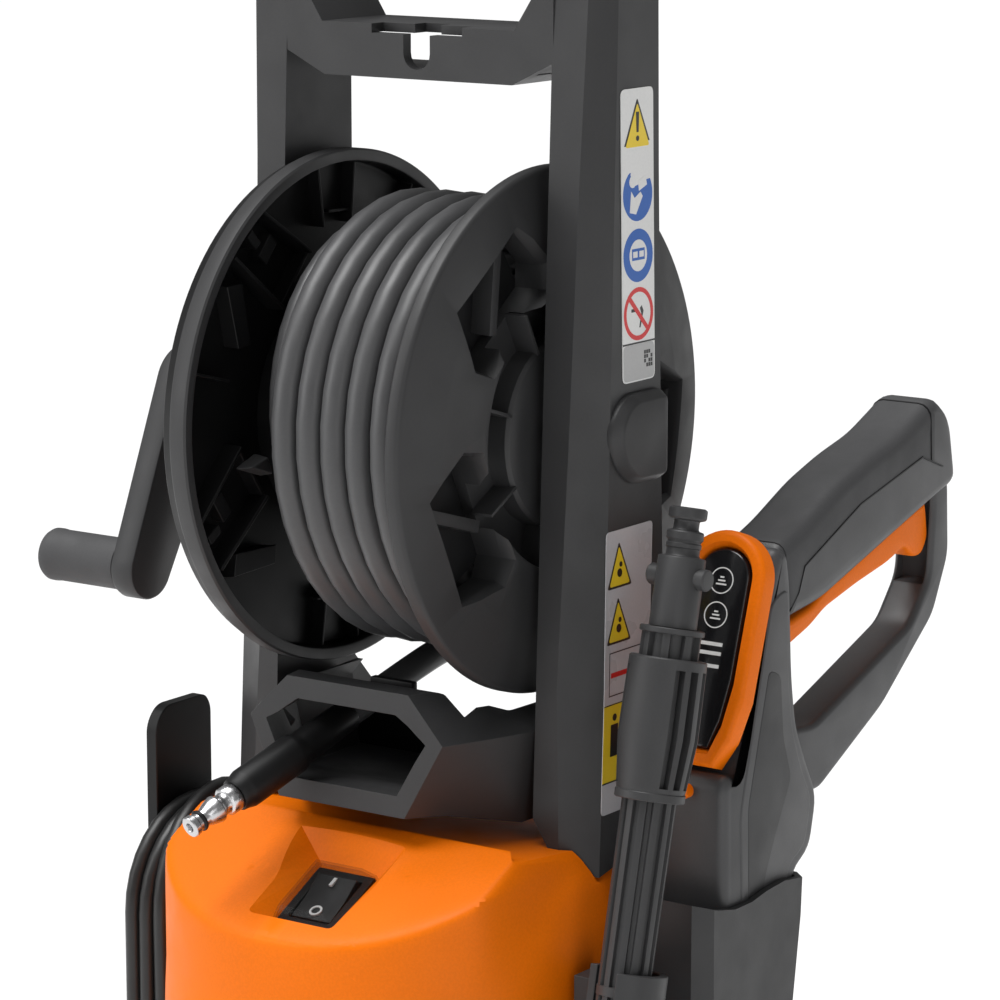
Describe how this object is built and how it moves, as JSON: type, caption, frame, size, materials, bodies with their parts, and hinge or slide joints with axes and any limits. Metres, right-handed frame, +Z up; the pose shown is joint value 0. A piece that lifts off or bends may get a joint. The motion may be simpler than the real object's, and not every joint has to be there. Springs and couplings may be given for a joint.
{
  "type": "pressure washer",
  "caption": "Upright electric pressure washer with a crank hose reel, trigger gun, lance and telescopic handle.",
  "frame": {"origin": "on the ground, under the middle of the machine's footprint, cords left out", "axes": "+Z up, +Y towards the back, +X towards the gun side, which is the machine's right seen from the front"},
  "size_m": [0.3498, 0.3498, 0.925],
  "materials": {
    "dark_plastic": "dark grey moulded plastic with a fine satin grain",
    "black_plastic": "black moulded plastic, satin",
    "orange_plastic": "orange moulded plastic with a fine grain",
    "soft_rubber": "dark grey soft-touch rubber",
    "hose_rubber": "dark grey smooth rubber hose cover",
    "cord_rubber": "black cable sheath",
    "steel": "bright turned steel",
    "aluminium": "anodised aluminium tube",
    "cast_metal": "die-cast metal, lightly blasted",
    "clear_plastic": "smoky clear soft plastic splash cover"
  },
  "bodies": {
    "machine": {"frame": "dark_plastic", "hose_tray": "dark_plastic", "reel_axle_cap": "dark_plastic", "gun_holster": "dark_plastic", "lance_clip": "dark_plastic", "lance_cup": "dark_plastic", "rear_cover": "black_plastic", "base_chassis": "black_plastic", "switch_bezel": "black_plastic", "cord_hook_lower": "black_plastic", "motor_capacitor": "black_plastic", "water_inlet": "black_plastic", "hood": "orange_plastic", "foot_left": "soft_rubber", "foot_right": "soft_rubber", "hose_end": "hose_rubber", "hose_sleeve": "hose_rubber", "cord_gland": "cord_rubber", "cord_run": "cord_rubber", "cord_hank": "cord_rubber", "cord_tail": "cord_rubber", "power_plug": "cord_rubber", "wheel_axle": "steel", "hose_nipple": "steel", "feed_pipe": "steel", "motor": "cast_metal", "pump_head": "cast_metal", "reel_swivel": "cast_metal", "switch_cover": "clear_plastic"},
    "handle": {"handle_tube_left": "aluminium", "handle_tube_right": "aluminium", "handle_grip": "soft_rubber"},
    "handle_button": {"handle_button": "orange_plastic"},
    "reel": {"reel_drum": "black_plastic", "reel_flange_left": "black_plastic", "reel_flange_right": "dark_plastic", "reel_axle": "steel", "crank_arm": "dark_plastic", "crank_pin": "steel", "crank_screw": "steel", "hose_wound": "hose_rubber"},
    "crank_grip": {"crank_grip": "soft_rubber"},
    "wheel_left": {"wheel_left": "black_plastic", "hubcap_left": "orange_plastic"},
    "wheel_right": {"wheel_right": "black_plastic", "hubcap_right": "orange_plastic"},
    "rocker": {"switch_rocker": "black_plastic"},
    "cord_hook": {"cord_hook_upper": "black_plastic"},
    "gun": {"gun_body": "dark_plastic", "gun_soft_grip": "soft_rubber", "gun_ring": "orange_plastic", "gun_panel": "black_plastic"},
    "trigger": {"gun_trigger": "orange_plastic"},
    "gun_lock": {"gun_lock": "orange_plastic"},
    "lance": {"lance_body": "dark_plastic", "lance_adapter": "dark_plastic", "lance_nozzle": "black_plastic"},
    "rotor": {"motor_shaft": "steel", "motor_fan": "black_plastic", "wobble_plate": "steel"}
  },
  "joints": [
    {"name": "handle_slide", "type": "slide", "parent": "machine", "child": "handle", "axis": [0, 0, 1], "range_m": [0, 0.2]},
    {"name": "handle_button_press", "type": "slide", "parent": "handle", "child": "handle_button", "axis": [0, 0, -1], "range_m": [0, 0.004], "stiffness_N_per_m": 300},
    {"name": "reel_spin", "type": "hinge", "parent": "machine", "child": "reel", "pos_m": [0.0211, -0.0365, 0.66], "axis": [1, 0, 0], "continuous": true},
    {"name": "crank_grip_spin", "type": "hinge", "parent": "reel", "child": "crank_grip", "pos_m": [-0.1519, -0.0755, 0.582], "axis": [1, 0, 0], "continuous": true},
    {"name": "wheel_left_spin", "type": "hinge", "parent": "machine", "child": "wheel_left", "pos_m": [-0.1029, 0.0535, 0.085], "axis": [1, 0, 0], "continuous": true},
    {"name": "wheel_right_spin", "type": "hinge", "parent": "machine", "child": "wheel_right", "pos_m": [0.1451, 0.0535, 0.085], "axis": [1, 0, 0], "continuous": true},
    {"name": "switch_rock", "type": "hinge", "parent": "machine", "child": "rocker", "pos_m": [0.0301, -0.1365, 0.463], "axis": [-1, 0, 0], "range_deg": [0, 17]},
    {"name": "cord_hook_swivel", "type": "hinge", "parent": "machine", "child": "cord_hook", "pos_m": [-0.0989, -0.0575, 0.427], "axis": [1, 0, 0], "range_deg": [0, 180]},
    {"name": "gun_lift", "type": "slide", "parent": "machine", "child": "gun", "axis": [0, 0.1392, 0.9903], "range_m": [0, 0.18]},
    {"name": "trigger_pull", "type": "hinge", "parent": "gun", "child": "trigger", "pos_m": [0.1511, 0.0255, 0.568], "axis": [1, 0, 0], "range_deg": [0, 5], "stiffness_Nm_per_rad": 1.5, "springref_deg": -5.73},
    {"name": "gun_lock_press", "type": "slide", "parent": "gun", "child": "gun_lock", "axis": [0, 1, 0], "range_m": [0, 0.0025], "stiffness_N_per_m": 200},
    {"name": "lance_lift", "type": "slide", "parent": "machine", "child": "lance", "axis": [0, 0.2351, 0.972], "range_m": [0, 0.23]},
    {"name": "motor_spin", "type": "hinge", "parent": "machine", "child": "rotor", "pos_m": [0.0211, -0.0815, 0.3], "axis": [0, 0, 1], "continuous": true}
  ]
}
